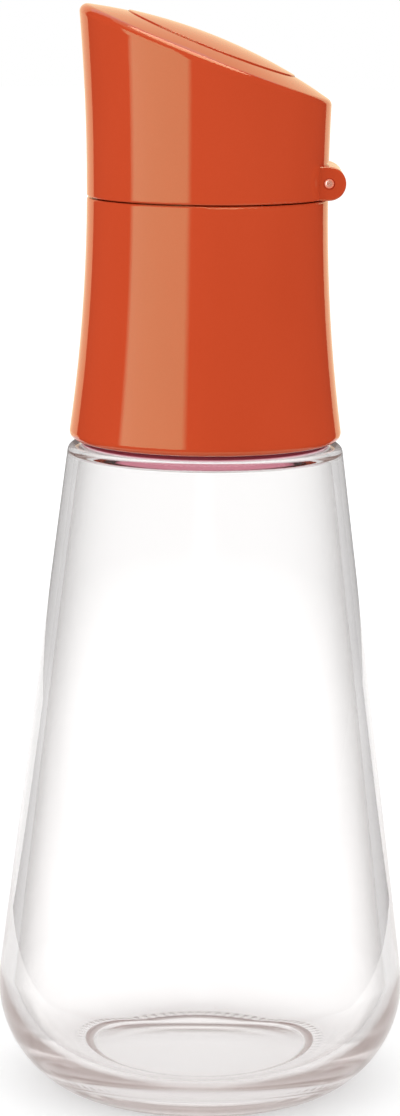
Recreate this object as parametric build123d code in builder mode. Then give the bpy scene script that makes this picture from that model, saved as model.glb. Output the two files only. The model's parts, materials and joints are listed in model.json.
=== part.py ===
from build123d import *
import os
from math import asin, cos, degrees, radians, sin, sqrt, tan

os.makedirs("parts", exist_ok=True)

# Dressing bottle with a screw cap and a hinged, slanted lid.
# Millimetres. The origin is the centre of the base and +Z is up.
# The hinge is on the +X side and the high tip of the lid is on the -X side.

# How far blanks and cutters run past what they trim
cut_margin = 10.0

# Glass body
shoulder_z = 114.3
shoulder_r = 23.8
foot_side_r = 35.8
foot_side_z = 20.0
foot_side_pull = 12.3
foot_ring_r = 24.1
foot_ring_pull = 3.4
rest_ring_width = 2.2
punt_rise = 2.4
punt_edge_round = 1.0
side_wall_top = 2.0
side_wall_foot = 2.8
shoulder_wall = 1.3
floor_z = 4.8
floor_r = 20.0
floor_pull = 9.0
inner_side_z = 20.0
inner_side_pull = 7.0
inner_shoulder_round = 1.2
shoulder_round = 1.3

# Neck finish
neck_height = 21.7
neck_wall = 2.6
neck_root_round = 1.5
lip_round = 0.7
thread_pitch = 4.2
thread_depth = 1.1
thread_foot = 2.0
thread_crest = 1.0
thread_embed = 0.4
thread_clearance = 0.3
neck_thread_turns = 1.25
insert_thread_turns = 1.1
thread_below_lip = 5.2

# Seals
shoulder_gasket_thickness = 0.9
shoulder_gasket_r = 21.5
shoulder_gasket_round = 0.3
neck_gasket_thickness = 1.5
neck_gasket_chamfer = 0.2
seal_clearance = 0.3

# Collar: the lower part of the cap
collar_height = 41.75
waist_r = 20.75
collar_flare_radius = 291.0
collar_wall = 1.7
collar_foot_round = 1.3
deck_drop = 3.0
deck_thickness = 1.8
rim_height = 1.6
rim_wall = 1.1
rim_gap = 0.45
rim_open_x = 9.0
rib_count = 12
rib_width = 1.2
rib_inset = 1.2
locating_wall = 1.4
seam_round = 0.35

# Threaded insert inside the collar
insert_gap = 0.2
insert_wall = 1.3
insert_ceiling = 1.8
insert_foot_gap = 1.0
insert_chamfer = 0.3

# Pouring spout
spout_r = 11.5
spout_wall = 1.5
spout_base_r = 13.0
spout_base_height = 3.0
spout_cone_height = 8.0
spout_flange = 1.6
spout_lip = 1.0
spout_lip_depth = 1.8
spout_gap = 0.3

# Lid: the upper part of the cap
seam_gap = 0.2
lid_low_height = 16.65
lid_slope = 21.0
lid_flare_radius = 366.0
lid_wall = 1.8
lid_top_wall = 2.2
lid_rim_round = 1.3
crown_rise = 2.6
crown_length_radius = 93.0
crown_cross_radius = 72.0
disc_r = 15.2
disc_proud = 0.2
disc_edge_thickness = 1.2
disc_gap = 0.12
disc_edge_round = 0.15

# Seal and its carrier inside the lid
seal_thickness = 2.0
seal_overlap = 1.0
seal_stand_out = 0.7
plug_depth = 1.5
plug_gap = 1.0
plug_round = 0.7
carrier_wall = 1.3
carrier_plate = 1.6
carrier_fit = 0.1
stem_r = 8.0
stem_wall = 1.5
gusset_count = 6
gusset_thickness = 1.0
snap_r = 3.0
stud_r = 2.0
stud_head_r = 2.8
stud_head_height = 1.0
stud_head_taper = 20.0

# Hinge
lug_r = 2.9
lug_inset = 0.12
hinge_width = 17.0
knuckle_width = 8.6
knuckle_side_gap = 0.25
knuckle_swing_gap = 0.35
knuckle_web = 3.0
root_inset = 1.0
lug_edge_round = 0.45
pin_r = 0.8
pin_clearance = 0.05
pin_recess = 0.35
pin_end_round = 0.35
pin_mouth_r = 0.98
pin_mouth_depth = 0.75

# Levels worked out from the sizes above
slope = radians(lid_slope)
lip_z = shoulder_z + neck_height
collar_z = shoulder_z + shoulder_gasket_thickness
collar_top_z = collar_z + collar_height
lid_z = collar_top_z + seam_gap
seam_z = (collar_top_z + lid_z) / 2
flange_z = lip_z + neck_gasket_thickness
ceiling_z = flange_z + spout_flange
insert_top_z = ceiling_z + insert_ceiling
insert_z = collar_z + insert_foot_gap
deck_top_z = collar_top_z - deck_drop
deck_z = deck_top_z - deck_thickness
lid_low_z = lid_z + lid_low_height
hinge_x = waist_r - lug_inset
hinge_z = lid_z + lug_r

# Radii worked out inwards from the waist of the cap
insert_r = waist_r - collar_wall - insert_gap
insert_root_r = insert_r - insert_wall
neck_crest_r = insert_root_r - thread_clearance
neck_r = neck_crest_r - thread_depth
insert_crest_r = insert_root_r - thread_depth
mouth_r = neck_r - neck_wall
spout_bore_r = spout_r - spout_wall
seat_bore_r = spout_base_r + spout_gap


def flare_r(flare_radius, rise):
    """Outer radius of the cap at a height above or below its waist."""
    return waist_r + flare_radius - sqrt(flare_radius**2 - rise**2)


low_r = flare_r(lid_flare_radius, lid_low_z - seam_z)
blank_top_z = lid_low_z + 2 * low_r * tan(slope) + cut_margin
top_plane = Plane(
    origin=(0, 0, lid_low_z + low_r * tan(slope)),
    x_dir=(cos(slope), 0, -sin(slope)),
    z_dir=(sin(slope), 0, cos(slope)),
)
hinge_plane = Plane(origin=(hinge_x, 0, hinge_z), x_dir=(1, 0, 0), z_dir=(0, -1, 0))
# The mouth of the spout lies in a plane through the hinge axis, so the seal lifts off squarely.
mouth_plane = Plane(
    origin=(0, 0, hinge_z + hinge_x * tan(slope)),
    x_dir=(cos(slope), 0, -sin(slope)),
    z_dir=(sin(slope), 0, cos(slope)),
)
disc_cross_drop = crown_cross_radius - sqrt(crown_cross_radius**2 - disc_r**2)
disc_floor = crown_rise - disc_cross_drop - disc_edge_thickness
plane_distance = (top_plane.origin - mouth_plane.origin).dot(top_plane.z_dir)
stem_top = plane_distance + disc_floor - lid_top_wall
ceiling_plane = mouth_plane.offset(stem_top)


def save(node, label):
    """Give a finished piece its name and write it."""
    node.part.label = label
    export_step(node.part, f"parts/{label}.step")


def thread_ridge(wall_r, side, start_z, turns):
    """Helical ridge on a round wall: side is 1 for an outer wall and -1 for an inner one."""
    flank = (thread_foot - thread_crest) / 2 / thread_depth
    rooted_half = thread_foot / 2 + thread_embed * flank
    with BuildPart() as ridge:
        with BuildLine() as path:
            helix = Helix(
                pitch=thread_pitch,
                height=thread_pitch * turns,
                radius=wall_r,
                center=(0, 0, start_z),
            )
        with BuildSketch(Plane(origin=helix @ 0, x_dir=(side, 0, 0), z_dir=helix % 0)):
            with BuildLine():
                Polyline(
                    (-thread_embed, rooted_half),
                    (thread_depth, thread_crest / 2),
                    (thread_depth, -thread_crest / 2),
                    (-thread_embed, -rooted_half),
                    close=True,
                )
            make_face()
        sweep(path=path.line, is_frenet=True)
    return ridge.part


neck_thread_top_z = lip_z - thread_below_lip
neck_thread_z = neck_thread_top_z - thread_pitch * neck_thread_turns
insert_thread_z = neck_thread_z - thread_pitch / 2
neck_ridge = thread_ridge(neck_r, 1, neck_thread_z, neck_thread_turns)
insert_ridge = thread_ridge(insert_root_r, -1, insert_thread_z, insert_thread_turns)

# Glass bottle: heavy rounded foot, straight flared side, small shoulder, threaded neck
side_slope = (foot_side_r - shoulder_r) / (shoulder_z - foot_side_z)
side_length = sqrt(1 + side_slope**2)
foot_pull_x = foot_side_pull * side_slope / side_length
foot_pull_z = foot_side_pull / side_length
inner_pull_x = inner_side_pull * side_slope / side_length
inner_pull_z = inner_side_pull / side_length
inner_top_z = shoulder_z - shoulder_wall
inner_top_r = shoulder_r - side_wall_top
inner_side_r = foot_side_r + side_slope * (foot_side_z - inner_side_z) - side_wall_foot
punt_r = foot_ring_r - rest_ring_width - punt_edge_round

with BuildPart() as glass_bottle:
    with BuildSketch(Plane.XZ):
        with BuildLine():
            Polyline((0, punt_rise), (0, floor_z), (floor_r, floor_z))
            Bezier(
                (floor_r, floor_z),
                (floor_r + floor_pull, floor_z),
                (inner_side_r + inner_pull_x, inner_side_z - inner_pull_z),
                (inner_side_r, inner_side_z),
            )
            Polyline(
                (inner_side_r, inner_side_z),
                (inner_top_r, inner_top_z),
                (mouth_r, inner_top_z),
                (mouth_r, lip_z),
                (neck_r, lip_z),
                (neck_r, shoulder_z),
                (shoulder_r, shoulder_z),
                (foot_side_r, foot_side_z),
            )
            Bezier(
                (foot_side_r, foot_side_z),
                (foot_side_r + foot_pull_x, foot_side_z - foot_pull_z),
                (foot_ring_r + foot_ring_pull, 0),
                (foot_ring_r, 0),
            )
            Line((foot_ring_r, 0), (foot_ring_r - rest_ring_width, 0))
            RadiusArc(
                (foot_ring_r - rest_ring_width, 0),
                (punt_r, punt_edge_round),
                punt_edge_round,
            )
            TangentArc((0, punt_rise), (punt_r, punt_edge_round), tangent=(1, 0))
        make_face()
        corners = vertices()
        fillet(corners.sort_by_distance((inner_top_r, inner_top_z))[0], inner_shoulder_round)
        corners = vertices()
        fillet(corners.sort_by_distance((mouth_r, inner_top_z))[0], inner_shoulder_round)
        corners = vertices()
        fillet(corners.sort_by_distance((shoulder_r, shoulder_z))[0], shoulder_round)
        corners = vertices()
        fillet(corners.sort_by_distance((neck_r, shoulder_z))[0], neck_root_round)
        corners = vertices()
        lip_corners = corners.sort_by_distance(((mouth_r + neck_r) / 2, lip_z))[:2]
        fillet(lip_corners, lip_round)
    revolve(axis=Axis.Z)
    add(neck_ridge)
save(glass_bottle, "glass_bottle")

# Soft ring between the glass shoulder and the foot of the collar
shoulder_gasket_bore_r = neck_r + neck_root_round + seal_clearance
with BuildPart() as shoulder_gasket:
    with BuildSketch(Plane.XY.offset(shoulder_z)):
        Circle(shoulder_gasket_r)
        Circle(shoulder_gasket_bore_r, mode=Mode.SUBTRACT)
    extrude(amount=shoulder_gasket_thickness)
    outer_edges = edges().filter_by(GeomType.CIRCLE).group_by(SortBy.RADIUS)[-1]
    fillet(outer_edges, shoulder_gasket_round)
save(shoulder_gasket, "shoulder_gasket")

# Soft washer on the lip of the glass
washer_r = insert_crest_r - seal_clearance
with BuildPart() as neck_gasket:
    with BuildSketch(Plane.XY.offset(lip_z)):
        Circle(washer_r)
        Circle(mouth_r, mode=Mode.SUBTRACT)
    extrude(amount=neck_gasket_thickness)
    chamfer(edges().filter_by(GeomType.CIRCLE), neck_gasket_chamfer)
save(neck_gasket, "neck_gasket")

# Threaded insert: the screw cap proper, hidden inside the collar
with BuildPart() as thread_insert:
    with BuildSketch(Plane.XZ):
        with BuildLine():
            Polyline(
                (insert_root_r, insert_z),
                (insert_r, insert_z),
                (insert_r, insert_top_z),
                (seat_bore_r, insert_top_z),
                (seat_bore_r, ceiling_z),
                (insert_root_r, ceiling_z),
                close=True,
            )
        make_face()
    revolve(axis=Axis.Z)
    outer_rims = edges().filter_by(GeomType.CIRCLE).group_by(SortBy.RADIUS)[-1]
    chamfer(outer_rims, insert_chamfer)
    add(insert_ridge)
save(thread_insert, "thread_insert")

# Collar: waisted sleeve with a deck, a locating tube, ribs and the hinge knuckle
collar_foot_r = flare_r(collar_flare_radius, seam_z - collar_z)
collar_top_r = flare_r(collar_flare_radius, seam_z - collar_top_z)
deck_outer_r = collar_top_r - collar_wall
deck_hole_r = spout_r + spout_gap
rim_outer_r = flare_r(lid_flare_radius, lid_z - seam_z) - lid_wall - rim_gap
rim_top_z = lid_z + rim_height
mid_rise = (seam_z - collar_z) / 2

with BuildPart() as collar_hollow:
    with BuildSketch(Plane.XZ):
        with BuildLine():
            Polyline(
                (0, collar_z),
                (0, deck_z),
                (flare_r(collar_flare_radius, seam_z - deck_z) - collar_wall, deck_z),
                (flare_r(collar_flare_radius, mid_rise) - collar_wall, seam_z - mid_rise),
                (collar_foot_r - collar_wall, collar_z),
                close=True,
            )
        make_face()
    revolve(axis=Axis.Z)
    # Left standing in the hollow: the ribs that grip the insert
    with BuildSketch(Plane.XY.offset(insert_z + rib_inset)):
        with PolarLocations(insert_r, rib_count, start_angle=360 / rib_count / 2):
            Rectangle(collar_foot_r - insert_r, rib_width, align=(Align.MIN, Align.CENTER))
    extrude(amount=insert_top_z - insert_z - rib_inset, mode=Mode.SUBTRACT)

with BuildPart() as collar:
    with BuildSketch(Plane.XZ):
        with BuildLine():
            Line((0, collar_z), (0, collar_top_z))
            Line((0, collar_top_z), (collar_top_r, collar_top_z))
            ThreePointArc(
                (collar_top_r, collar_top_z),
                (flare_r(collar_flare_radius, mid_rise), seam_z - mid_rise),
                (collar_foot_r, collar_z),
            )
            Line((collar_foot_r, collar_z), (0, collar_z))
        make_face()
        foot_corner = vertices().sort_by_distance((collar_foot_r, collar_z))[0]
        fillet(foot_corner, collar_foot_round)
        top_corner = vertices().sort_by_distance((collar_top_r, collar_top_z))[0]
        fillet(top_corner, seam_round)
    revolve(axis=Axis.Z)
    add(collar_hollow.part, mode=Mode.SUBTRACT)
    # Dished deck round the spout
    with BuildSketch(Plane.XY.offset(deck_top_z)):
        Circle(deck_outer_r)
    extrude(amount=deck_drop, mode=Mode.SUBTRACT)
    # Locating tube from the deck down to the insert
    with BuildSketch(Plane.XY.offset(insert_top_z)):
        Circle(seat_bore_r + locating_wall)
    extrude(amount=deck_z - insert_top_z)
    with BuildSketch(Plane.XY.offset(insert_top_z)):
        Circle(seat_bore_r)
    extrude(amount=deck_z - insert_top_z, mode=Mode.SUBTRACT)
    with BuildSketch(Plane.XY.offset(deck_z)):
        Circle(deck_hole_r)
    extrude(amount=deck_thickness, mode=Mode.SUBTRACT)
    # Upstanding rim inside the lid, open on the hinge side so that the lid can swing
    with BuildSketch(Plane.XY.offset(deck_top_z)):
        Circle(rim_outer_r)
        Circle(rim_outer_r - rim_wall, mode=Mode.SUBTRACT)
        with Locations((rim_open_x, 0)):
            Rectangle(waist_r, 2 * waist_r, align=(Align.MIN, Align.CENTER), mode=Mode.SUBTRACT)
    extrude(amount=rim_top_z - deck_top_z)
    # Hinge knuckle
    with BuildSketch(hinge_plane):
        Circle(lug_r)
        with Locations((-knuckle_web, 0)):
            Rectangle(knuckle_web, lug_r, align=(Align.MIN, Align.MAX))
            Rectangle(knuckle_web - root_inset, hinge_z - deck_z, align=(Align.MIN, Align.MAX))
    extrude(amount=knuckle_width / 2, both=True)
    with BuildSketch(hinge_plane):
        Circle(pin_r + pin_clearance)
    extrude(amount=knuckle_width / 2, both=True, mode=Mode.SUBTRACT)
save(collar, "collar")

# Pouring spout: flange under the insert, cone, tube and slanted lip
spout_cone_top_z = insert_top_z + spout_base_height + spout_cone_height
spout_top_z = mouth_plane.origin.Z + spout_r * tan(slope) + cut_margin
with BuildPart() as pour_spout:
    with BuildSketch(Plane.XZ):
        with BuildLine():
            Polyline(
                (spout_bore_r, spout_top_z),
                (spout_r, spout_top_z),
                (spout_r, spout_cone_top_z),
                (spout_base_r, insert_top_z + spout_base_height),
                (spout_base_r, ceiling_z),
                (washer_r, ceiling_z),
                (washer_r, flange_z),
                (mouth_r, flange_z),
                (mouth_r - spout_wall, ceiling_z),
                (spout_base_r - spout_wall, insert_top_z + spout_base_height),
                (spout_bore_r, spout_cone_top_z),
                close=True,
            )
        make_face()
    revolve(axis=Axis.Z)
    split(bisect_by=mouth_plane, keep=Keep.BOTTOM)
    with BuildSketch(mouth_plane):
        Ellipse((spout_r + spout_lip) / cos(slope), spout_r + spout_lip)
    extrude(amount=-spout_lip_depth)
    with BuildSketch(Plane.XY.offset(spout_cone_top_z)):
        Circle(spout_bore_r)
    extrude(amount=spout_top_z - spout_cone_top_z, mode=Mode.SUBTRACT)
save(pour_spout, "pour_spout")

# Cutter above the crowned top of the lid: an arc across, swept along a larger arc
cross_half = low_r + cut_margin
cross_drop = crown_cross_radius - sqrt(crown_cross_radius**2 - cross_half**2)
crown_sweep = 2 * degrees(asin(cross_half / cos(slope) / crown_length_radius))
crown_start = slope - radians(crown_sweep / 2)
crown_centre = top_plane.origin + top_plane.z_dir * (crown_rise - crown_length_radius)
crown_plane = Plane(
    origin=crown_centre,
    x_dir=(0, 1, 0),
    z_dir=(cos(crown_start), 0, -sin(crown_start)),
)
with BuildPart() as crown_cut:
    with BuildSketch(crown_plane):
        with BuildLine():
            ThreePointArc(
                (-cross_half, crown_length_radius - cross_drop),
                (0, crown_length_radius),
                (cross_half, crown_length_radius - cross_drop),
            )
            Polyline(
                (cross_half, crown_length_radius - cross_drop),
                (cross_half, crown_length_radius + cross_half),
                (-cross_half, crown_length_radius + cross_half),
                (-cross_half, crown_length_radius - cross_drop),
            )
        make_face()
    revolve(axis=Axis(crown_centre, (0, 1, 0)), revolution_arc=crown_sweep)

# Hollow of the lid, under a flat slanted ceiling
inner_rise = (blank_top_z - seam_z) / 2
lid_r = flare_r(lid_flare_radius, lid_z - seam_z)
blank_top_r = flare_r(lid_flare_radius, blank_top_z - seam_z)
with BuildPart() as lid_hollow:
    with BuildSketch(Plane.XZ):
        with BuildLine():
            Line((0, lid_z), (lid_r - lid_wall, lid_z))
            ThreePointArc(
                (lid_r - lid_wall, lid_z),
                (flare_r(lid_flare_radius, inner_rise) - lid_wall, seam_z + inner_rise),
                (blank_top_r - lid_wall, blank_top_z),
            )
            Line((blank_top_r - lid_wall, blank_top_z), (0, blank_top_z))
            Line((0, blank_top_z), (0, lid_z))
        make_face()
    revolve(axis=Axis.Z)
    split(bisect_by=ceiling_plane, keep=Keep.BOTTOM)

# Lug block: flat top and bottom, round nose, softened edges on its two side faces
with BuildPart() as lug_block:
    with BuildSketch(hinge_plane):
        Circle(lug_r)
        with Locations((-knuckle_web, 0)):
            Rectangle(knuckle_web, 2 * lug_r, align=(Align.MIN, Align.CENTER))
    extrude(amount=hinge_width / 2, both=True)
    side_edges = faces().filter_by(Axis.Y).edges().filter_by(
        lambda e: e.center().X > hinge_x - knuckle_web + lug_edge_round
    )
    fillet(side_edges, lug_edge_round)

# Lid shell
slot_back = knuckle_web + knuckle_swing_gap
with BuildPart() as lid_shell:
    with BuildSketch(Plane.XZ):
        with BuildLine():
            Line((0, lid_z), (lid_r, lid_z))
            ThreePointArc(
                (lid_r, lid_z),
                (flare_r(lid_flare_radius, inner_rise), seam_z + inner_rise),
                (blank_top_r, blank_top_z),
            )
            Line((blank_top_r, blank_top_z), (0, blank_top_z))
            Line((0, blank_top_z), (0, lid_z))
        make_face()
        seam_corner = vertices().sort_by_distance((lid_r, lid_z))[0]
        fillet(seam_corner, seam_round)
    revolve(axis=Axis.Z)
    add(crown_cut.part, mode=Mode.SUBTRACT)
    fillet(faces().sort_by(Axis.Z)[-1].edges(), lid_rim_round)
    add(lug_block.part)
    add(lid_hollow.part, mode=Mode.SUBTRACT)
    # Recess for the inlay disc, and the hole for the snap of the seal carrier
    with BuildSketch(top_plane.offset(disc_floor)):
        Circle(disc_r + disc_gap)
    extrude(amount=crown_rise + disc_edge_thickness, mode=Mode.SUBTRACT)
    with BuildSketch(ceiling_plane):
        Circle(snap_r + carrier_fit)
    extrude(amount=lid_top_wall, mode=Mode.SUBTRACT)
    # Slot for the knuckle, clear of it over the whole swing
    with BuildSketch(hinge_plane):
        Circle(lug_r + knuckle_swing_gap)
        with Locations((-slot_back, 0)):
            Rectangle(slot_back + 2 * lug_r, 2 * lug_r, align=(Align.MIN, Align.MAX))
    extrude(amount=knuckle_width / 2 + knuckle_side_gap, both=True, mode=Mode.SUBTRACT)
    with BuildSketch(hinge_plane):
        Circle(pin_r)
    extrude(amount=hinge_width / 2, both=True, mode=Mode.SUBTRACT)
    # Wider mouths of the pin hole, so the ends of the pin stand in small wells
    for side in (1, -1):
        with BuildSketch(hinge_plane.offset(side * (hinge_width / 2 - pin_mouth_depth))):
            Circle(pin_mouth_r)
        extrude(amount=side * pin_mouth_depth, mode=Mode.SUBTRACT)
save(lid_shell, "lid_shell")

# Inlay disc in the top of the lid, standing a little proud of it
disc_crown_cut = Pos(*(top_plane.z_dir * disc_proud)) * crown_cut.part
with BuildPart() as top_disc:
    with BuildSketch(top_plane.offset(disc_floor)):
        Circle(disc_r)
    extrude(amount=crown_rise + disc_edge_thickness)
    add(disc_crown_cut, mode=Mode.SUBTRACT)
    fillet(faces().sort_by(Axis.Z)[-1].edges(), disc_edge_round)
save(top_disc, "top_disc")

# Seal carrier under the top of the lid
seal_r = (spout_r + spout_lip) / cos(slope) + seal_overlap
cup_r = seal_r + carrier_fit + carrier_wall
plate_top = seal_thickness + carrier_plate
gusset_height = (stem_top - plate_top) / 2
with BuildPart() as seal_carrier:
    with BuildSketch(mouth_plane.offset(seal_thickness)):
        Circle(cup_r)
    extrude(amount=carrier_plate)
    with BuildSketch(mouth_plane.offset(seal_stand_out)):
        Circle(cup_r)
        Circle(seal_r + carrier_fit, mode=Mode.SUBTRACT)
    extrude(amount=seal_thickness - seal_stand_out)
    with BuildSketch(mouth_plane.offset(plate_top)):
        Circle(stem_r)
        Circle(stem_r - stem_wall, mode=Mode.SUBTRACT)
    extrude(amount=stem_top - plate_top)
    with BuildSketch(mouth_plane.offset(plate_top)):
        with PolarLocations(stem_r - stem_wall / 2, gusset_count):
            Rectangle(cup_r - stem_r, gusset_thickness, align=(Align.MIN, Align.CENTER))
    extrude(amount=gusset_height)
    with BuildSketch(mouth_plane.offset(stem_top - carrier_plate)):
        Circle(stem_r)
    extrude(amount=carrier_plate)
    with BuildSketch(mouth_plane.offset(stem_top)):
        Circle(snap_r)
    extrude(amount=lid_top_wall)
    with BuildSketch(mouth_plane.offset(seal_thickness)):
        Circle(stud_r + carrier_fit)
    extrude(amount=carrier_plate, mode=Mode.SUBTRACT)
save(seal_carrier, "seal_carrier")

# Soft seal that closes the mouth of the spout
with BuildPart() as spout_seal:
    with BuildSketch(mouth_plane):
        Circle(seal_r)
    extrude(amount=seal_thickness)
    with BuildSketch(mouth_plane.offset(-plug_depth)):
        Circle(spout_bore_r - plug_gap)
    extrude(amount=plug_depth)
    plug_edge = edges().filter_by(GeomType.CIRCLE).sort_by(Axis.Z)[0]
    fillet(plug_edge, plug_round)
    with BuildSketch(mouth_plane.offset(seal_thickness)):
        Circle(stud_r)
    extrude(amount=carrier_plate)
    with BuildSketch(mouth_plane.offset(plate_top)):
        Circle(stud_head_r)
    extrude(amount=stud_head_height, taper=stud_head_taper)
save(spout_seal, "spout_seal")

# Hinge pin, held in the two lugs of the lid
with BuildPart() as hinge_pin:
    with BuildSketch(hinge_plane):
        Circle(pin_r)
    extrude(amount=hinge_width / 2 - pin_recess, both=True)
    fillet(edges().filter_by(GeomType.CIRCLE), pin_end_round)
save(hinge_pin, "hinge_pin")
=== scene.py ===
import json
from math import cos, pi, radians, sin, sqrt, tan

import bpy
from mathutils import Matrix, Vector


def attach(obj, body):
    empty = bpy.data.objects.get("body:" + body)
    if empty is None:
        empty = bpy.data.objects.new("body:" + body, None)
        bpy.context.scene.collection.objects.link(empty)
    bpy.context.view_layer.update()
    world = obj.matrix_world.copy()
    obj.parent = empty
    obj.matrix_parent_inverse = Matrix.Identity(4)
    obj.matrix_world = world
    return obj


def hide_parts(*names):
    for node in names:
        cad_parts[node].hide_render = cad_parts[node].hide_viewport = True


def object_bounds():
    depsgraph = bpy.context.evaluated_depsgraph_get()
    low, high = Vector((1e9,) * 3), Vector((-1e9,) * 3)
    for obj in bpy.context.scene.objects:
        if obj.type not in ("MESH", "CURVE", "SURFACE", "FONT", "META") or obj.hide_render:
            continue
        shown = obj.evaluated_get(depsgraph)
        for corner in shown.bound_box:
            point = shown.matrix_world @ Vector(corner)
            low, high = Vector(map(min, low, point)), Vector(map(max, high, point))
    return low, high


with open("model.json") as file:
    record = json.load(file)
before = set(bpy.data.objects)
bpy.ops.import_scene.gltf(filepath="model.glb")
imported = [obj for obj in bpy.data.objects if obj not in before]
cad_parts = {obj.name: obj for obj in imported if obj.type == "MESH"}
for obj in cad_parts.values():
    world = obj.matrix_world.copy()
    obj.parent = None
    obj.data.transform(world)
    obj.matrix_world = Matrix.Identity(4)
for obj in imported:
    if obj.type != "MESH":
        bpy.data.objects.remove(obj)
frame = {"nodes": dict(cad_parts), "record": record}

# The dressing bottle stands at the origin, in metres, with the lid hinge on the +X side
nodes = frame["nodes"]
cad_low, cad_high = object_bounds()
MM = 0.001


def colour(red, green, blue):
    return (red, green, blue, 1.0)


WHITE = colour(1, 1, 1)
BLACK = colour(0, 0, 0)

# The photograph's frame, in pixels, and the camera that was fitted to it
FRAME_HEIGHT = 1116
FOCAL_PIXELS = 3478.5
SENSOR = 36.0
CAMERA_DISTANCE = 0.6
CAMERA_HEIGHT = 0.2018
CAMERA_PITCH = 10.193
CAMERA_ROLL = 0.54
CAMERA_ASIDE = -0.0007
CAMERA_CLIP_NEAR = 0.01
CAMERA_CLIP_FAR = 50

# Light levels, where 1 is white, and the shares of them that are left beside the glass
BACKGROUND_LEVEL = 1.0
BEHIND_GLASS_LEVEL = 1.2
BESIDE_GLASS_SHARE = 0.78
BESIDE_NEAR_SHARE = 0.69
AMBIENT_LEVEL = 0.97
SOFTBOX_LEVEL = 3.56
OVERHEAD_LEVEL = 5.5
KEY_LEVEL = 0.09

# The softbox, as the strip that it draws on the cap shows it: angles in degrees from the camera's side
SOFTBOX_NEAR_ANGLE = 17.0
SOFTBOX_FAR_ANGLE = 75.0
SOFTBOX_BORDER = 2.5
SOFTBOX_DISTANCE = 0.6
SOFTBOX_LOW = 0.001
SOFTBOX_HIGH = 0.5
SOFTBOX_NEAR_SHARE = 0.9

# The key is a broad lamp on the left that shapes the colour and shows in no reflection
KEY_DISTANCE = 0.9
KEY_SIZE = 0.6
KEY_ANGLE = 48.0
KEY_HEIGHT = 0.55

# A lamp over the bottle draws the bright line along the rim of the lid
OVERHEAD_PLACE = (0.25, 0.05, 1.1)
OVERHEAD_SIZE = 1.0
OVERHEAD_COLOUR = (1.96, 0.88, 0.86)

# Dark cards, open only at the back, keep the white room out of reflections
CARD_RADIUS = 0.75
CARD_HIGH = 1.3
CARD_INSIDE = 0.16
CARD_BLACK = colour(0.02, 0.02, 0.02)
CARD_MIDDLE_ANGLE = 3.0
CARD_HALF_ANGLE = 141.0
CARD_STEPS = 48

# The warm wall behind the bottle, which only reflections in the cap see, and how solid it is
WARM_RADIUS = 0.5
WARM_LOW = 0.001
WARM_HIGH = 0.5
WARM_MIDDLE_ANGLE = 183.0
WARM_HALF_ANGLE = 40.0
WARM_COLOUR = colour(1.26, 0.88, 0.46)
WARM_SHARE = 0.8

# Through the glass, the white behind the bottle goes over to grey from SIDE_START aside on,
# and is all grey where the slope from there, x / y, has come to SIDE_FAR
SIDE_START = 0.035
SIDE_FAR = 0.42
# A place counts as at least this far back, so that nothing is divided by zero
LEAST_BACK = 0.0001
# The floor's grey is deeper up to NEAR_REACH from the bottle, and as light as the room's from FAR_REACH
NEAR_REACH = 0.35
FAR_REACH = 0.6

FLOOR_RADIUS = 4.0
FLOOR_SIDES = 96
# The floor lies this much under the base of the bottle, and the dark card round it as much over the base
FLOOR_DROP = 0.02 * MM
FLOOR_ALBEDO = 0.86
FLOOR_GLOW = 0.3
# Through the glass the floor glows by this much more, up to GLOW_NEAR behind it and fading to GLOW_FAR
FLOOR_GLOW_THROUGH = 0.2
GLOW_NEAR = 0.35
GLOW_FAR = 0.62

# Section of the glass, in millimetres
SHOULDER_Z = 114.3
SHOULDER_R = 23.8
SHOULDER_ROUND = 1.3
SHOULDER_WALL = 1.3
INNER_SHOULDER_ROUND = 1.2
FOOT_SIDE_R = 35.8
FOOT_SIDE_Z = 20.0
FOOT_SIDE_PULL = 12.3
FOOT_RING_R = 24.1
FOOT_RING_PULL = 3.4
REST_RING_WIDTH = 2.2
PUNT_RISE = 2.4
PUNT_EDGE_ROUND = 1.0
SIDE_WALL_TOP = 2.0
SIDE_WALL_FOOT = 2.8
FLOOR_Z = 4.8
FLOOR_R = 20.0
FLOOR_PULL = 9.0
INNER_SIDE_Z = 20.0
INNER_SIDE_PULL = 7.0
NECK_HEIGHT = 21.7
NECK_R = 16.15
NECK_WALL = 2.6
NECK_ROOT_ROUND = 1.5
LIP_ROUND = 0.7
# The soft seals lie on the glass, so its top faces stand this much lower, to let light between
SEAT_GAP = 0.03
# How many steps draw each part of the section
CURVE_STEPS = 36
ROUND_STEPS = 10
FLOOR_STEPS = 6
SIDE_STEPS = 16
FOOT_STEPS = 48
RING_STEPS = 4
PUNT_EDGE_STEPS = 8
PUNT_STEPS = 12

# Screw thread on the neck and the fine dents in the ring that the glass stands on
THREAD_PITCH = 4.2
THREAD_DEPTH = 1.1
THREAD_FOOT = 2.0
THREAD_CREST = 1.0
THREAD_TURNS = 1.25
THREAD_BELOW_LIP = 5.2
THREAD_ROW = 0.3
# The thread rises from the neck over one part in this many of a turn
THREAD_RUN_IN = 12
# A point this near to the neck's radius is on the neck
NECK_MARGIN = 0.01
DENT_COUNT = 80
DENT_DEPTH = 0.08
# The dents fade out over this width at both edges of the ring
DENT_FADE = 0.4
GLASS_SIDES = 320
# Lengths up to this one count as none
TOUCH = 0.001

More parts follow.
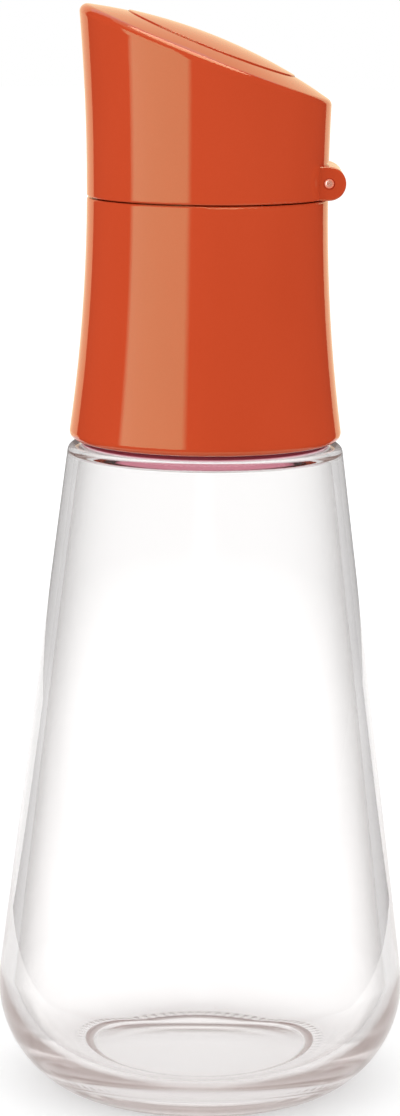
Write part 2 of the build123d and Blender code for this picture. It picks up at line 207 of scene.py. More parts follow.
# Finishes: the deeper and the lighter tone of each one
ORANGE_DEEP = colour(0.61, 0.070, 0.022)
ORANGE_LIGHT = colour(0.65, 0.078, 0.026)
NATURAL_DEEP = colour(0.80, 0.79, 0.755)
NATURAL_LIGHT = colour(0.86, 0.855, 0.83)
MILKY_DEEP = colour(0.66, 0.65, 0.62)
MILKY_LIGHT = colour(0.74, 0.73, 0.70)
ROSE_DEEP = colour(0.34, 0.026, 0.05)
ROSE_LIGHT = colour(0.42, 0.036, 0.066)
STEEL_DEEP = colour(0.60, 0.59, 0.57)
STEEL_LIGHT = colour(0.78, 0.77, 0.75)
PLASTIC_IOR = 1.5
SILICONE_IOR = 1.43
MILKY_SHEEN = 0.1
ROSE_SHEEN = 0.05
# Straight reflections in the orange are tinted, to give the softbox strip its photographed colour
REFLECTION_TINT = colour(0.38, 1.0, 0.54)
# The orange is nearly mirror smooth, and its rubs are a little rougher, most of all on the disc
ORANGE_SMOOTH = 0.045
SHELL_RUB = 0.085
DISC_RUB = 0.105
# How much of the orange's change of tone comes from its slow drift, and not from its speckle
DRIFT_SHARE = 0.75
# Painted glow on the rose seal's underside, in place of light through the glass below: full up to
# PAINTED_GLOW_FULL, none past PAINTED_GLOW_NONE
ROSE_PAINTED_GLOW = colour(0.50, 0.20, 0.26)
PAINTED_GLOW_FULL = 0.02
PAINTED_GLOW_NONE = 0.25
# Painted glow on the pin: warm emission in place of the light that the well round its ends throws on it
PIN_GLOW_DEEP = colour(0.34, 0.12, 0.08)
PIN_GLOW_LIGHT = colour(0.72, 0.30, 0.20)

# The glass as a material: seen straight on, with painted shade at a slant, by a lamp's rays, and in its
# thickness
GLASS_IOR = 1.5
GLASS_STRAIGHT = colour(0.995, 0.993, 0.992)
GLASS_SLANT_SHADE = colour(0.34, 0.31, 0.30)
GLASS_TO_LAMPS = colour(0.95, 0.95, 0.95)
GLASS_THICKNESS = colour(0.84, 0.78, 0.765)
GLASS_DENSITY = 28.0
# Dust roughens the glass a little, and its foot is softer: from FOOT_SOFT_Z down, fully at FOOT_SOFTEST_Z
DUST_ROUGHNESS = 0.015
FOOT_ROUGHNESS = 0.07
FOOT_SOFT_Z = 26.0
FOOT_SOFTEST_Z = 8.0
# A ray that has met TRAPPED_DEPTH faces is stuck in the glass: it ends in a painted grey glow, lighter
# higher up, not in black
LIGHT_TURNS = 16
TRAPPED_DEPTH = 10
TRAPPED_GLOW_LOW_Z = 30.0
TRAPPED_GLOW_LOW = colour(0.67, 0.63, 0.61)
TRAPPED_GLOW_HIGH_Z = 95.0
TRAPPED_GLOW_HIGH = colour(0.76, 0.73, 0.72)


class Value:
    """A socket that Python's operators work on: each operator adds a Math node."""

    def __init__(self, tree, socket):
        self.tree = tree
        self.socket = socket

    def maths(self, operation, first, second=0.0):
        return self.tree.node("ShaderNodeMath", {"operation": operation}, {0: first, 1: second})

    def __add__(self, other):
        return self.maths("ADD", self, other)

    def __radd__(self, other):
        return self.maths("ADD", other, self)

    def __sub__(self, other):
        return self.maths("SUBTRACT", self, other)

    def __rsub__(self, other):
        return self.maths("SUBTRACT", other, self)

    def __mul__(self, other):
        return self.maths("MULTIPLY", self, other)

    def __rmul__(self, other):
        return self.maths("MULTIPLY", other, self)

    def __truediv__(self, other):
        return self.maths("DIVIDE", self, other)

    def __rtruediv__(self, other):
        return self.maths("DIVIDE", other, self)

    def most(self, other):
        return self.maths("MAXIMUM", self, other)

    def least(self, other):
        return self.maths("MINIMUM", self, other)

    def held(self):
        """The value, kept between 0 and 1."""
        return self.most(0.0).least(1.0)


class Tree:
    """A node tree that is written as calls: node() adds one node and gives one of its outputs."""

    def __init__(self, tree):
        self.tree = tree
        tree.nodes.clear()

    def node(self, kind, settings=None, sockets=None, output=0):
        made = self.tree.nodes.new(kind)
        for name, value in (settings or {}).items():
            setattr(made, name, value)
        for name, value in (sockets or {}).items():
            self.feed(made.inputs[name], value)
        return Value(self, made.outputs[output]) if made.outputs else made

    def feed(self, socket, value):
        if isinstance(value, Value):
            self.tree.links.new(value.socket, socket)
        else:
            socket.default_value = value

    def part(self, vector, axis):
        """The X, Y or Z of a vector."""
        return self.node("ShaderNodeSeparateXYZ", None, {"Vector": vector}, output=axis)

    def ray_is(self, kind):
        """1 for a ray of this kind, such as Camera or Glossy, and 0 for any other."""
        return self.node("ShaderNodeLightPath", output="Is " + kind + " Ray")

    def side_share(self, place):
        """0 for a place straight behind the bottle, 1 for one beside it or in front of it."""
        aside = self.node("ShaderNodeMath", {"operation": "ABSOLUTE"}, {0: self.part(place, "X")})
        slant = (aside - SIDE_START) / self.part(place, "Y").most(LEAST_BACK)
        return self.node(
            "ShaderNodeMapRange",
            {"interpolation_type": "SMOOTHSTEP"},
            {"Value": slant, "From Min": 0.0, "From Max": SIDE_FAR},
        )

    def grey(self, value):
        return self.node("ShaderNodeCombineColor", None, {"Red": value, "Green": value, "Blue": value})


class Shader(Tree):
    """A material's node tree, with the patterns that the finishes of this bottle share."""

    def __init__(self, name):
        self.material = bpy.data.materials.new(name)
        self.material.use_nodes = True
        super().__init__(self.material.node_tree)
        self.place = self.node("ShaderNodeTexCoord", output="Object")

    def noise(self, size, detail=3.0, rough=0.5, stretch=(1, 1, 1)):
        """Noise from 0 to 1 whose grains are about size metres across."""
        scale = tuple(s / size for s in stretch)
        spread = self.node("ShaderNodeMapping", None, {"Vector": self.place, "Scale": scale})
        return self.node(
            "ShaderNodeTexNoise",
            None,
            {"Vector": spread, "Scale": 1.0, "Detail": detail, "Roughness": rough},
        )

    def between(self, value, low, high, to_low=0.0, to_high=1.0):
        """value from low to high, spread over to_low to to_high and held there."""
        return self.node(
            "ShaderNodeMapRange",
            {"clamp": True},
            {
                "Value": value,
                "From Min": low,
                "From Max": high,
                "To Min": to_low,
                "To Max": to_high,
            },
        )

    def blend(self, share, first, second):
        """Mix of two colours: the first at a share of 0, the second at 1."""
        return self.node(
            "ShaderNodeMix",
            {"data_type": "RGBA"},
            {"Factor": share, "A": first, "B": second},
            output=2,
        )

    def bump(self, height, distance):
        """Normal that follows a height of 0 to 1 times distance metres."""
        return self.node("ShaderNodeBump", None, {"Height": height, "Distance": distance, "Strength": 1.0})

    def finish(self, surface, volume=None):
        sockets = {"Surface": surface}
        if volume is not None:
            sockets["Volume"] = volume
        self.node("ShaderNodeOutputMaterial", None, sockets)
        return self.material


class Growth(Tree):
    """A geometry node tree with named inputs. It turns a base mesh into a finished one."""

    def __init__(self, name, inputs):
        self.group = bpy.data.node_groups.new(name, "GeometryNodeTree")
        super().__init__(self.group)
        self.group.interface.new_socket("Geometry", in_out="INPUT", socket_type="NodeSocketGeometry")
        for label, kind in inputs.items():
            self.group.interface.new_socket(label, in_out="INPUT", socket_type="NodeSocket" + kind)
        self.group.interface.new_socket("Geometry", in_out="OUTPUT", socket_type="NodeSocketGeometry")
        self.entry = self.group.nodes.new("NodeGroupInput")

    def given(self, label):
        return Value(self, self.entry.outputs[label])

    def finish(self, geometry, material):
        """End the tree: instances made real, and a material set."""
        real = self.node("GeometryNodeRealizeInstances", None, {"Geometry": geometry})
        dressed = self.node("GeometryNodeSetMaterial", None, {"Geometry": real, "Material": material})
        self.node("NodeGroupOutput", None, {"Geometry": dressed})

    def grow(self, name, base, values):
        """Run the tree on a base mesh and give a plain object with the result."""
        seed = add_object(name + "_base", base)
        maker = seed.modifiers.new(name, "NODES")
        maker.node_group = self.group
        for item in self.group.interface.items_tree:
            if item.in_out == "INPUT" and item.name in values:
                maker[item.identifier] = values[item.name]
        graph = bpy.context.evaluated_depsgraph_get()
        mesh = bpy.data.meshes.new_from_object(seed.evaluated_get(graph))
        mesh.name = name
        mesh.materials.clear()
        mesh.materials.append(values["Material"])
        bpy.data.objects.remove(seed)
        bpy.data.meshes.remove(base)
        return add_object(name, mesh)


def add_object(name, data):
    made = bpy.data.objects.new(name, data)
    bpy.context.scene.collection.objects.link(made)
    return made


def orange_plastic(name, rub_roughness):
    """Gloss moulded plastic: faint drift of the pigment, very shallow orange peel, and fine rubs."""
    s = Shader(name)
    drift = s.noise(22 * MM, detail=2.0, stretch=(1, 1, 0.45))
    speckle = s.noise(0.35 * MM, detail=2.0)
    slow = s.between(drift, 0.35, 0.65) * DRIFT_SHARE
    share = slow + s.between(speckle, 0.3, 0.7) * (1 - DRIFT_SHARE)
    rubs = s.noise(0.9 * MM, detail=5.0, rough=0.62, stretch=(1, 1, 0.12))
    peel = s.noise(2.6 * MM, detail=1.5)
    surface = s.node(
        "ShaderNodeBsdfPrincipled",
        None,
        {
            "Base Color": s.blend(share, ORANGE_DEEP, ORANGE_LIGHT),
            "Roughness": s.between(rubs, 0.42, 0.72, ORANGE_SMOOTH, rub_roughness),
            "Normal": s.bump(peel, 0.004 * MM),
            "IOR": PLASTIC_IOR,
            "Specular Tint": REFLECTION_TINT,
        },
    )
    return s.finish(surface)


def clear_glass():
    """Pressed glass: faint waves, softer towards the foot, and painted shade that greys it where it is seen
    at a slant.
    """
    s = Shader("clear_glass")
    waves = s.noise(14 * MM, detail=1.5, stretch=(1, 1, 0.6))
    ripple = s.noise(5 * MM, detail=2.0)
    height = s.part(s.place, "Z")
    foot = s.between(height, FOOT_SOFT_Z * MM, FOOT_SOFTEST_Z * MM)
    dust = s.noise(1.4 * MM, detail=4.0)
    # Painted shade: the tint greys towards a slant, in place of dark reflections at the glass's edges
    slant = s.node("ShaderNodeFresnel", None, {"IOR": GLASS_IOR})
    glass = s.node(
        "ShaderNodeBsdfPrincipled",
        None,
        {
            "Base Color": s.blend(slant, GLASS_STRAIGHT, GLASS_SLANT_SHADE),
            "Roughness": s.between(dust, 0.5, 0.85, 0.0, DUST_ROUGHNESS) + foot * FOOT_ROUGHNESS,
            "Transmission Weight": 1.0,
            "IOR": GLASS_IOR,
            "Normal": s.bump(waves + ripple * foot, 0.012 * MM),
        },
    )
    clear = s.node("ShaderNodeBsdfTransparent", None, {"Color": GLASS_TO_LAMPS})
    # Painted light: a ray stuck deep in the glass ends on a grey glow, lighter higher up, instead of black
    depth = s.node("ShaderNodeLightPath", output="Ray Depth")
    trapped = s.node("ShaderNodeMath", {"operation": "GREATER_THAN"}, {0: depth, 1: TRAPPED_DEPTH})
    rise = s.between(height, TRAPPED_GLOW_LOW_Z * MM, TRAPPED_GLOW_HIGH_Z * MM)
    trapped_glow_colour = s.blend(rise, TRAPPED_GLOW_LOW, TRAPPED_GLOW_HIGH)
    trapped_glow = s.node("ShaderNodeEmission", None, {"Color": trapped_glow_colour, "Strength": 1.0})
    body = s.node("ShaderNodeMixShader", None, {0: trapped, 1: glass, 2: trapped_glow})
    surface = s.node("ShaderNodeMixShader", None, {0: s.ray_is("Shadow"), 1: body, 2: clear})
    loss = {"Color": GLASS_THICKNESS, "Density": GLASS_DENSITY}
    inside = s.node("ShaderNodeVolumeAbsorption", None, loss)
    return s.finish(surface, inside)


def white_plastic():
    """Satin moulded plastic of the hidden screw cap, the spout and the carrier."""
    s = Shader("white_plastic")
    drift = s.noise(16 * MM, detail=2.0)
    grain = s.noise(0.25 * MM)
    surface = s.node(
        "ShaderNodeBsdfPrincipled",
        None,
        {
            "Base Color": s.blend(drift, NATURAL_DEEP, NATURAL_LIGHT),
            "Roughness": s.between(grain, 0.3, 0.7, 0.34, 0.46),
            "Normal": s.bump(grain, 0.006 * MM),
            "IOR": PLASTIC_IOR,
        },
    )
    return s.finish(surface)


def soft_silicone(name, deep, light, sheen, under=0.0, glow_colour=BLACK):
    """Soft seal: matt, with a dusty sheen and a fine moulded grain.

    Its underside lies at the height under, and there it carries a painted glow of glow_colour.
    """
    s = Shader(name)
    drift = s.noise(5 * MM)
    grain = s.noise(0.18 * MM, detail=2.0)
    # Painted glow: emission on the underside, standing in for light that comes through the glass below
    glow_share = s.between(s.part(s.place, "Z"), under + PAINTED_GLOW_NONE * MM, under + PAINTED_GLOW_FULL * MM)
    surface = s.node(
        "ShaderNodeBsdfPrincipled",
        None,
        {
            "Base Color": s.blend(drift, deep, light),
            "Roughness": s.between(grain, 0.3, 0.7, 0.32, 0.5),
            "Normal": s.bump(grain, 0.005 * MM),
            "IOR": SILICONE_IOR,
            "Sheen Weight": sheen,
            "Emission Color": s.blend(glow_share, BLACK, glow_colour),
            "Emission Strength": 1.0,
        },
    )
    return s.finish(surface)


def pin_steel():
    """Drawn wire: fine lines along the pin, which lies along Y. It glows with painted warm light, in place
    of the light of its well.
    """
    s = Shader("pin_steel")
    lines = s.noise(0.12 * MM, stretch=(1, 0.04, 1))
    surface = s.node(
        "ShaderNodeBsdfPrincipled",
        None,
        {
            "Base Color": s.blend(lines, STEEL_DEEP, STEEL_LIGHT),
            "Metallic": 1.0,
            "Roughness": s.between(lines, 0.3, 0.7, 0.16, 0.32),
            "Normal": s.bump(lines, 0.004 * MM),
            # Painted glow: the pin's emission stands in for the warm light of its well
            "Emission Color": s.blend(lines, PIN_GLOW_DEEP, PIN_GLOW_LIGHT),
            "Emission Strength": 1.0,
        },
    )
    return s.finish(surface)


def dress(node, material):
    """Give a CAD node its finish, as the only material of its mesh."""
    piece = nodes[node]
    piece.data.materials.clear()
    piece.data.materials.append(material)


shell_orange = orange_plastic("shell_orange", SHELL_RUB)
disc_orange = orange_plastic("disc_orange", DISC_RUB)
natural_white = white_plastic()
milky_silicone = soft_silicone("milky_silicone", MILKY_DEEP, MILKY_LIGHT, MILKY_SHEEN)
rose_silicone = soft_silicone(
    "rose_silicone",
    ROSE_DEEP,
    ROSE_LIGHT,
    ROSE_SHEEN,
    under=SHOULDER_Z * MM,
    glow_colour=ROSE_PAINTED_GLOW,
)

dress("collar", shell_orange)
dress("lid_shell", shell_orange)
dress("top_disc", disc_orange)
dress("thread_insert", natural_white)
dress("pour_spout", natural_white)
dress("seal_carrier", natural_white)
dress("neck_gasket", milky_silicone)
dress("spout_seal", milky_silicone)
dress("shoulder_gasket", rose_silicone)
dress("hinge_pin", pin_steel())


def swing(start, pull, counter, end, steps=CURVE_STEPS):
    """Points of a cubic curve between two points, without the first."""
    points = []
    for step in range(1, steps + 1):
        t = step / steps
        shares = ((1 - t) ** 3, 3 * t * (1 - t) ** 2, 3 * t * t * (1 - t), t**3)
        parts = list(zip(shares, (start, pull, counter, end)))
        points.append(tuple(sum(share * point[axis] for share, point in parts) for axis in (0, 1)))
    return points


def straight(start, end, steps=1):
    """Points of a line between two points, without the first."""
    run = end[0] - start[0]
    rise = end[1] - start[1]
    return [(start[0] + run * step / steps, start[1] + rise * step / steps) for step in range(1, steps + 1)]


def rounded(before, corner, after, radius, steps=ROUND_STEPS):
    """Points of the arc that rounds a corner between two straight lines."""
    middle = Vector(corner)
    first = (Vector(before) - middle).normalized()
    second = (Vector(after) - middle).normalized()
    half = first.angle(second) / 2
    centre = middle + (first + second).normalized() * (radius / sin(half))
    start = (middle + first * (radius / tan(half)) - centre).normalized()
    end = (middle + second * (radius / tan(half)) - centre).normalized()
    return [tuple(centre + start.slerp(end, step / steps) * radius) for step in range(steps + 1)]


def glass_section():
    """Half section of the glass, in millimetres: from its floor over the lip to the hollow below."""
    slant = (FOOT_SIDE_R - SHOULDER_R) / (SHOULDER_Z - FOOT_SIDE_Z)
    along = sqrt(1 + slant**2)
    shoulder_z = SHOULDER_Z - SEAT_GAP
    lip_z = SHOULDER_Z + NECK_HEIGHT - SEAT_GAP
    mouth_r = NECK_R - NECK_WALL
    inner_heel = (FOOT_SIDE_R + slant * (FOOT_SIDE_Z - INNER_SIDE_Z) - SIDE_WALL_FOOT, INNER_SIDE_Z)
    inner_top = (SHOULDER_R - SIDE_WALL_TOP, SHOULDER_Z - SHOULDER_WALL)
    mouth_foot = (mouth_r, SHOULDER_Z - SHOULDER_WALL)
    mouth_lip = (mouth_r, lip_z)
    neck_lip = (NECK_R, lip_z)
    neck_foot = (NECK_R, shoulder_z)
    shoulder = (SHOULDER_R, shoulder_z)
    foot_side = (FOOT_SIDE_R, FOOT_SIDE_Z)
    ring_outer = (FOOT_RING_R, 0)
    ring_inner = (FOOT_RING_R - REST_RING_WIDTH, 0)
    punt_r = ring_inner[0] - PUNT_EDGE_ROUND
    thread_rows = int((lip_z - LIP_ROUND - SHOULDER_Z - NECK_ROOT_ROUND) / THREAD_ROW)

    points = [(0, FLOOR_Z)]
    points += straight(points[-1], (FLOOR_R, FLOOR_Z), FLOOR_STEPS)
    inner_pull = (inner_heel[0] + INNER_SIDE_PULL * slant / along, INNER_SIDE_Z - INNER_SIDE_PULL / along)
    points += swing(points[-1], (FLOOR_R + FLOOR_PULL, FLOOR_Z), inner_pull, inner_heel)
    points += rounded(inner_heel, inner_top, mouth_foot, INNER_SHOULDER_ROUND)
    points += rounded(inner_top, mouth_foot, mouth_lip, INNER_SHOULDER_ROUND)
    points += rounded(mouth_foot, mouth_lip, neck_lip, LIP_ROUND)
    points += rounded(mouth_lip, neck_lip, neck_foot, LIP_ROUND)
    root = rounded(neck_lip, neck_foot, shoulder, NECK_ROOT_ROUND)
    points += straight(points[-1], root[0], thread_rows)
    points += root[1:]
    points += rounded(neck_foot, shoulder, foot_side, SHOULDER_ROUND)
    points += straight(points[-1], foot_side, SIDE_STEPS)
    foot_pull = (FOOT_SIDE_R + FOOT_SIDE_PULL * slant / along, FOOT_SIDE_Z - FOOT_SIDE_PULL / along)
    points += swing(foot_side, foot_pull, (FOOT_RING_R + FOOT_RING_PULL, 0), ring_outer, FOOT_STEPS)
    points += straight(ring_outer, ring_inner, RING_STEPS)
    for step in range(1, PUNT_EDGE_STEPS + 1):
        turn = pi / 2 * step / PUNT_EDGE_STEPS
        points.append((ring_inner[0] - PUNT_EDGE_ROUND * sin(turn), PUNT_EDGE_ROUND * (1 - cos(turn))))
    for step in range(PUNT_STEPS - 1, -1, -1):
        share = step / PUNT_STEPS
        points.append((punt_r * share, PUNT_EDGE_ROUND + (PUNT_RISE - PUNT_EDGE_ROUND) * (1 - share**2)))
    return points


def make_glass():
    """The bottle: its half section turned about Z, with the thread and the dents on the turned wall."""
    inputs = {
        "Sides": "Int",
        "Pitch": "Float",
        "Turns": "Float",
        "Thread Start": "Float",
        "Thread Depth": "Float",
        "Thread Foot": "Float",
        "Thread Crest": "Float",
        "Neck Radius": "Float",
        "Dents": "Int",
        "Dent Depth": "Float",
        "Ring Outer": "Float",
        "Ring Inner": "Float",
        "Material": "Material",
    }
    t = Growth("turned_glass", inputs)

    # A grid takes its places from the section: each column is a copy of it, turned by its share of a turn
    section = t.given("Geometry")
    sides = t.given("Sides")
    rows = t.node("GeometryNodeAttributeDomainSize", {"component": "MESH"}, {"Geometry": section})
    grid = t.node("GeometryNodeMeshGrid", None, {"Vertices X": sides + 1, "Vertices Y": rows})
    index = t.node("GeometryNodeInputIndex")
    # The half keeps a rounding error from taking a point into the column before
    column = t.node("ShaderNodeMath", {"operation": "FLOOR"}, {0: (index + 0.5) / rows})
    row = index - column * rows
    point = t.node(
        "GeometryNodeSampleIndex",
        {"data_type": "FLOAT_VECTOR"},
        {"Geometry": section, "Value": t.node("GeometryNodeInputPosition"), "Index": row},
    )
    radius = t.part(point, "X")
    height = t.part(point, "Z")
    share = column / sides
    angle = share * (2 * pi)

    # Thread: how far up its turn a point is, and how far from the middle of the nearest turn
    pitch = t.given("Pitch")
    climb = (height - t.given("Thread Start")) / pitch - share
    turn = t.node("ShaderNodeMath", {"operation": "ROUND"}, {0: climb})
    off = t.node("ShaderNodeMath", {"operation": "ABSOLUTE"}, {0: (climb - turn) * pitch})
    foot = t.given("Thread Foot") / 2
    crest = t.given("Thread Crest") / 2
    flank = ((foot - off) / (foot - crest)).held()
    way = share + turn
    run_in = (way * THREAD_RUN_IN).held()
    run_out = ((t.given("Turns") - way) * THREAD_RUN_IN).held()
    on_neck = t.node(
        "ShaderNodeMath",
        {"operation": "COMPARE"},
        {0: radius, 1: t.given("Neck Radius"), 2: NECK_MARGIN * MM},
    )
    ridge = flank * run_in * run_out * on_neck * t.given("Thread Depth")

    # Dents: only where the section lies on the ground, and none at the ring's two edges
    wave = t.node("ShaderNodeMath", {"operation": "COSINE"}, {0: angle * t.given("Dents")})
    from_edges = (t.given("Ring Outer") - radius).least(radius - t.given("Ring Inner"))
    inside_ring = (from_edges / (DENT_FADE * MM)).held()
    on_ground = t.node("ShaderNodeMath", {"operation": "LESS_THAN"}, {0: height, 1: TOUCH * MM})
    dent = wave.most(0.0) * inside_ring * on_ground * t.given("Dent Depth")

    out = radius + ridge
    place = t.node(
        "ShaderNodeCombineXYZ",
        None,
        {
            "X": out * t.node("ShaderNodeMath", {"operation": "COSINE"}, {0: angle}),
            "Y": out * t.node("ShaderNodeMath", {"operation": "SINE"}, {0: angle}),
            "Z": height + dent,
        },
    )
    turned = t.node("GeometryNodeSetPosition", None, {"Geometry": grid, "Position": place})
    closed = t.node("GeometryNodeMergeByDistance", None, {"Geometry": turned, "Distance": TOUCH * MM})
    outward = t.node("GeometryNodeFlipFaces", None, {"Mesh": closed})
    smooth = t.node("GeometryNodeSetShadeSmooth", None, {"Geometry": outward, "Shade Smooth": True})
    t.finish(smooth, t.given("Material"))

    points = [(r * MM, 0, z * MM) for r, z in glass_section()]
    base = bpy.data.meshes.new("glass_section")
    base.from_pydata(points, [(i, i + 1) for i in range(len(points) - 1)], [])
    lip_z = SHOULDER_Z + NECK_HEIGHT
    glass = t.grow(
        "pressed_glass",
        base,
        {
            "Sides": GLASS_SIDES,
            "Pitch": THREAD_PITCH * MM,
            "Turns": THREAD_TURNS,
            "Thread Start": (lip_z - THREAD_BELOW_LIP - THREAD_PITCH * THREAD_TURNS) * MM,
            "Thread Depth": THREAD_DEPTH * MM,
            "Thread Foot": THREAD_FOOT * MM,
            "Thread Crest": THREAD_CREST * MM,
            "Neck Radius": NECK_R * MM,
            "Dents": DENT_COUNT,
            "Dent Depth": DENT_DEPTH * MM,
            "Ring Outer": FOOT_RING_R * MM,
            "Ring Inner": (FOOT_RING_R - REST_RING_WIDTH) * MM,
            "Material": clear_glass(),
        },
    )
    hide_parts("glass_bottle")
    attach(glass, "bottle")


def make_floor():
    """Plain pale floor. It glows a little for what looks at it, so that it is white and keeps the shadow.

    Through the glass it glows more close behind the bottle, and is greyer at the sides.
    """
    turns = [2 * pi * i / FLOOR_SIDES for i in range(FLOOR_SIDES)]
    rim = [(FLOOR_RADIUS * cos(turn), FLOOR_RADIUS * sin(turn), -FLOOR_DROP) for turn in turns]
    mesh = bpy.data.meshes.new("floor")
    mesh.from_pydata(rim, [], [list(range(FLOOR_SIDES))])
    floor = add_object("floor", mesh)
    s = Shader("floor_paper")
    through = s.ray_is("Transmission")
    seen = s.ray_is("Camera").most(s.ray_is("Glossy")).most(through)
    reach = s.node("ShaderNodeVectorMath", {"operation": "LENGTH"}, {0: s.place}, output="Value")
    beside = s.between(reach, NEAR_REACH, FAR_REACH, BESIDE_NEAR_SHARE - 1, BESIDE_GLASS_SHARE - 1)
    level = s.side_share(s.place) * through * beside + 1
    matt = s.node("ShaderNodeBsdfDiffuse", None, {"Color": s.grey(level * FLOOR_ALBEDO)})
    more = through * s.between(s.part(s.place, "Y"), GLOW_NEAR, GLOW_FAR, FLOOR_GLOW_THROUGH, 0.0)
    glow = s.node("ShaderNodeEmission", None, {"Strength": (seen * FLOOR_GLOW + more) * level})
    mesh.materials.append(s.finish(s.node("ShaderNodeAddShader", None, {0: matt, 1: glow})))


def make_world():
    """Even pale room, white to the camera and in reflections, and a little less bright as a light.

    Through the glass it is brighter straight behind the bottle, and greyer at the sides.
    """
    world = bpy.data.worlds.new("studio")
    bpy.context.scene.world = world
    world.use_nodes = True
    t = Tree(world.node_tree)
    through = t.ray_is("Transmission")
    seen = t.ray_is("Camera").most(t.ray_is("Glossy")).most(through)
    side = t.side_share(t.node("ShaderNodeTexCoord", output="Generated"))
    level = seen * (BACKGROUND_LEVEL - AMBIENT_LEVEL) + AMBIENT_LEVEL
    behind = (side * (BESIDE_GLASS_SHARE - 1) + 1) * BEHIND_GLASS_LEVEL
    level = level + through * (behind - BACKGROUND_LEVEL)
    sky = t.node("ShaderNodeBackground", None, {"Color": WHITE, "Strength": level})
    t.node("ShaderNodeOutputWorld", None, {"Surface": sky})


def for_reflections_only(item):
    """Show a lamp or a card to reflections, and to nothing else."""
    item.visible_camera = False
    item.visible_diffuse = False
    item.visible_transmission = False
    item.visible_shadow = False


def for_cap_only(lamp):
    """Show a lamp or a card to reflections in the cap and the lid, and to nothing else."""
    for_reflections_only(lamp)
    only_cap = bpy.data.collections.new(lamp.name + "_lights")
    bodies = frame["record"]["behaviour"]["bodies"]
    for node in bodies["cap"] + bodies["lid"]:
        only_cap.objects.link(nodes[node])
    lamp.light_linking.receiver_collection = only_cap


def bent_card(name, profile, middle, half_angle, material):
    """Card swept round the bottle: profile is in radius and height, the angles count from the front."""
    points = []
    for step in range(CARD_STEPS + 1):
        turn = radians(middle + half_angle * (2 * step / CARD_STEPS - 1))
        points += [(radius * sin(turn), -radius * cos(turn), level) for radius, level in profile]
    mesh = bpy.data.meshes.new(name)
    rows = len(profile)
    corners = [step * rows + row for step in range(CARD_STEPS) for row in range(rows - 1)]
    mesh.from_pydata(points, [], [(i, i + 1, i + rows + 1, i + rows) for i in corners])
    mesh.materials.append(material)
    return add_object(name, mesh)


def make_softbox():
    """Tall softbox on the camera's left, bent round the bottle, with soft borders at its sides."""
    s = Shader("softbox_cloth")
    left = s.part(s.place, "X") * -1
    front = s.part(s.place, "Y") * -1
    turn = s.node("ShaderNodeMath", {"operation": "ARCTAN2"}, {0: left, 1: front})
    near = [radians(SOFTBOX_NEAR_ANGLE + side * SOFTBOX_BORDER) for side in (-1, 1)]
    far = [radians(SOFTBOX_FAR_ANGLE + side * SOFTBOX_BORDER) for side in (-1, 1)]
    share = s.between(turn, *near) * s.between(turn, far[1], far[0])
    share = share * s.between(turn, near[1], far[0], SOFTBOX_NEAR_SHARE, 1.0)
    passing = s.node("ShaderNodeBsdfTransparent", None, {"Color": WHITE})
    shine = s.node("ShaderNodeEmission", None, {"Color": WHITE, "Strength": SOFTBOX_LEVEL})
    cloth = s.finish(s.node("ShaderNodeMixShader", None, {0: share, 1: passing, 2: shine}))
    middle = -(SOFTBOX_NEAR_ANGLE + SOFTBOX_FAR_ANGLE) / 2
    half = (SOFTBOX_FAR_ANGLE - SOFTBOX_NEAR_ANGLE) / 2 + SOFTBOX_BORDER
    profile = [(SOFTBOX_DISTANCE, SOFTBOX_LOW), (SOFTBOX_DISTANCE, SOFTBOX_HIGH)]
    softbox = bent_card("softbox", profile, middle, half, cloth)
    for_cap_only(softbox)


def make_overhead():
    """Broad lamp over the bottle, for the line of light along the rim of the lid."""
    lamp = bpy.data.lights.new("overhead", "AREA")
    lamp.shape = "DISK"
    lamp.size = OVERHEAD_SIZE
    # A flat lamp of this brightness sends out brightness times pi times its area
    area = pi * (OVERHEAD_SIZE / 2) ** 2
    lamp.energy = OVERHEAD_LEVEL * pi * area
    lamp.color = OVERHEAD_COLOUR
    overhead = add_object("overhead", lamp)
    overhead.location = OVERHEAD_PLACE
    for_cap_only(overhead)


def make_key():
    """Broad lamp that gives the colour its slow fall from left to right."""
    lamp = bpy.data.lights.new("key", "AREA")
    lamp.shape = "DISK"
    lamp.size = KEY_SIZE
    # The power goes with the square of the distance, so that the level is the one at the bottle
    reach = sqrt(KEY_DISTANCE**2 + KEY_HEIGHT**2)
    lamp.energy = KEY_LEVEL * 4 * pi * reach**2
    key = add_object("key", lamp)
    side = radians(KEY_ANGLE)
    middle = (cad_low + cad_high) / 2
    key.location = (-KEY_DISTANCE * sin(side), -KEY_DISTANCE * cos(side), middle.z + KEY_HEIGHT)
    key.rotation_euler = (middle - key.location).to_track_quat("-Z", "Y").to_euler()
    key.visible_camera = False
    key.visible_glossy = False
    key.visible_transmission = False


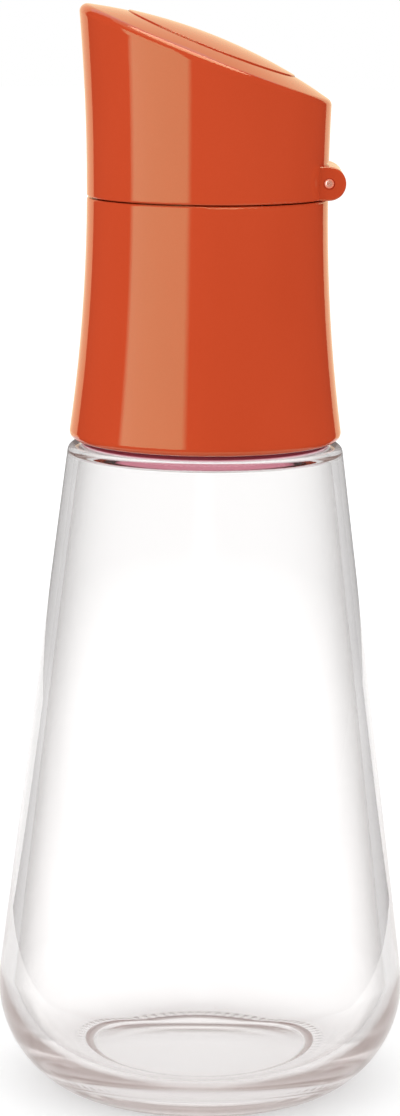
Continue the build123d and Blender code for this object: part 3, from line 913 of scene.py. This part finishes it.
def make_cards():
    """Dark cards round the front and the sides, and a warm wall behind: only reflections see them."""
    s = Shader("card_black")
    black = s.finish(s.node("ShaderNodeBsdfDiffuse", None, {"Color": CARD_BLACK}))
    profile = [(CARD_INSIDE, FLOOR_DROP), (CARD_RADIUS, FLOOR_DROP), (CARD_RADIUS, CARD_HIGH)]
    cards = bent_card("dark_cards", profile, CARD_MIDDLE_ANGLE, CARD_HALF_ANGLE, black)
    for_reflections_only(cards)

    s = Shader("card_warm")
    warm = s.node("ShaderNodeEmission", None, {"Color": WARM_COLOUR})
    passing = s.node("ShaderNodeBsdfTransparent", None, {"Color": WHITE})
    sheet = s.finish(s.node("ShaderNodeMixShader", None, {0: WARM_SHARE, 1: passing, 2: warm}))
    profile = [(WARM_RADIUS, WARM_LOW), (WARM_RADIUS, WARM_HIGH)]
    wall = bent_card("warm_wall", profile, WARM_MIDDLE_ANGLE, WARM_HALF_ANGLE, sheet)
    for_cap_only(wall)


def make_camera():
    """The photograph's camera: in front, a little above, pitched down and turned about its own axis."""
    lens = bpy.data.cameras.new("camera")
    lens.sensor_width = SENSOR
    lens.lens = FOCAL_PIXELS * SENSOR / FRAME_HEIGHT
    lens.clip_start = CAMERA_CLIP_NEAR
    lens.clip_end = CAMERA_CLIP_FAR
    camera = add_object("camera", lens)
    place = Matrix.Translation((CAMERA_ASIDE, -CAMERA_DISTANCE, CAMERA_HEIGHT))
    pitch = Matrix.Rotation(radians(90 - CAMERA_PITCH), 4, "X")
    roll = Matrix.Rotation(radians(CAMERA_ROLL), 4, "Z")
    camera.matrix_world = place @ pitch @ roll
    bpy.context.scene.camera = camera


def set_bounces():
    """Light needs many turns to find its way out of thick glass."""
    cycles = bpy.context.scene.cycles
    cycles.max_bounces = LIGHT_TURNS
    cycles.glossy_bounces = LIGHT_TURNS
    cycles.transmission_bounces = LIGHT_TURNS
    cycles.transparent_max_bounces = LIGHT_TURNS


make_glass()
make_floor()
make_world()
make_softbox()
make_overhead()
make_key()
make_cards()
make_camera()
set_bounces()
bpy.context.scene.view_settings.view_transform = "Standard"
